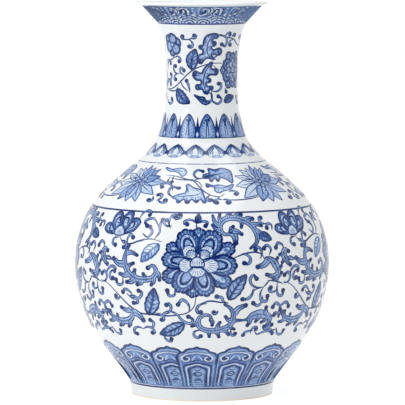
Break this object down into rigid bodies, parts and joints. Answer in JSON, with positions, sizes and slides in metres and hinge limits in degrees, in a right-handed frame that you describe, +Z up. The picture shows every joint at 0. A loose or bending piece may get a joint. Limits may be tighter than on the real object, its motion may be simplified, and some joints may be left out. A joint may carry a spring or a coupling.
{
  "type": "porcelain vase",
  "caption": "Blue and white porcelain baluster vase with a trumpet mouth, round body and upright foot ring, for display or for holding flowers.",
  "frame": {"origin": "centre of the circle that the foot rests on, on the table plane", "axes": "+Z up along the vase's axis of revolution, towards the mouth; -Y is the front, where a large flower is centred"},
  "size_m": [0.2008, 0.2008, 0.31],
  "materials": {
    "glazed_porcelain": "gloss",
    "porcelain_slip": "gloss",
    "cobalt_underglaze": "gloss",
    "bare_biscuit": "matte"
  },
  "bodies": {
    "root": {"foot_ring": "glazed_porcelain", "base_floor": "glazed_porcelain", "lower_body": "glazed_porcelain", "belly": "glazed_porcelain", "shoulder": "glazed_porcelain", "neck": "glazed_porcelain", "mouth_rim": "glazed_porcelain", "lower_seam_slip": "porcelain_slip", "shoulder_seam_slip": "porcelain_slip", "neck_seam_slip": "porcelain_slip"}
  },
  "joints": []
}
